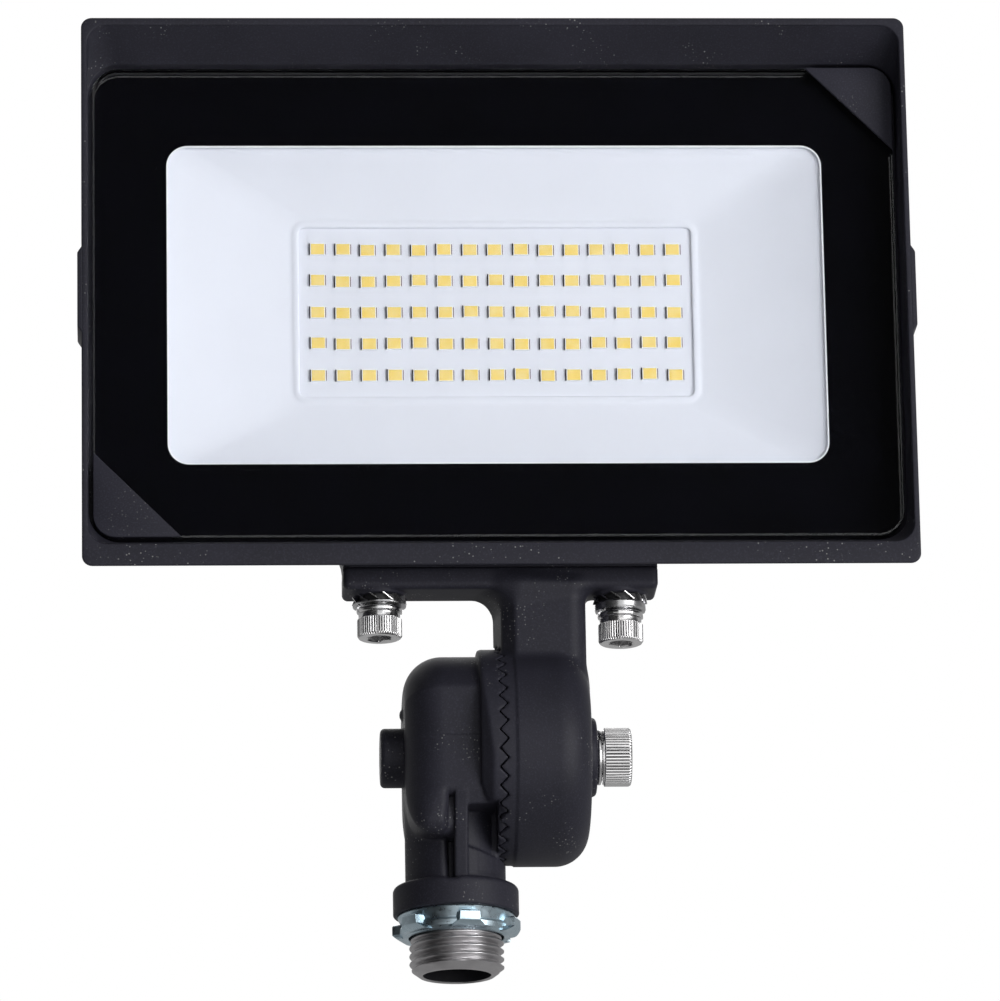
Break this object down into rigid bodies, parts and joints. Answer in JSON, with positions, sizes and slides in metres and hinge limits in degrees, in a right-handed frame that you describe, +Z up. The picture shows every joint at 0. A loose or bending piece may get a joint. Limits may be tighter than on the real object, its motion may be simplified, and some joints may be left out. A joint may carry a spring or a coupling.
{
  "type": "led flood light",
  "caption": "Rectangular LED flood light head on a toothed tilt knuckle with a threaded nipple and locknut for a junction box cover.",
  "frame": {"origin": "on the nipple's axis, midway along its free thread", "axes": "+Z up the nipple towards the lamp head, the glass faces -Y, +X to the right seen from the front, along the tilt axis"},
  "size_m": [0.1869, 0.0484, 0.2156],
  "materials": {
    "black_powder_coat": "satin, fine grain",
    "nipple_metal": "bare, turned",
    "lens_glass": "clear, black printed border",
    "seal_rubber": "matte",
    "corner_plastic": "fine grain",
    "white_reflector": "matte white",
    "white_board": "white solder mask",
    "led_yellow": "phosphor gel",
    "pad_grey": "matte",
    "bright_steel": "bright, knurled heads",
    "driver_green": "solder mask",
    "driver_black": "moulded",
    "zinc_plated": "bluish zinc"
  },
  "bodies": {
    "arm": {"knuckle_base": "black_powder_coat", "threaded_nipple": "nipple_metal"},
    "head": {"housing": "black_powder_coat", "glass_lens": "lens_glass", "lens_gasket": "seal_rubber", "corner_plate_upper": "corner_plastic", "corner_plate_lower": "corner_plastic", "reflector_tray": "white_reflector", "led_board": "white_board", "led_chips": "led_yellow", "thermal_pad": "pad_grey", "board_screws": "bright_steel", "driver_board": "driver_green", "driver_parts": "driver_black", "driver_screws": "bright_steel", "bracket_gasket": "seal_rubber", "knuckle_bracket": "black_powder_coat", "knuckle_seal": "seal_rubber", "bracket_screws": "bright_steel", "bracket_spring_washers": "bright_steel", "bracket_tooth_washers": "bright_steel"},
    "pivot_bolt": {"pivot_bolt": "bright_steel", "pivot_spring_washer": "bright_steel"},
    "locknut": {"locknut": "zinc_plated"}
  },
  "joints": [
    {"name": "head_tilt", "type": "hinge", "parent": "arm", "child": "head", "pos_m": [0.0101, 0, 0.04535], "axis": [1, 0, 0], "range_deg": [-80, 80]},
    {"name": "pivot_bolt_spin", "type": "hinge", "parent": "arm", "child": "pivot_bolt", "pos_m": [0.03, 0, 0.04535], "axis": [1, 0, 0], "continuous": true},
    {"name": "locknut_spin", "type": "hinge", "parent": "arm", "child": "locknut", "pos_m": [0, 0, 0.0069], "axis": [0, 0, 1], "continuous": true}
  ]
}
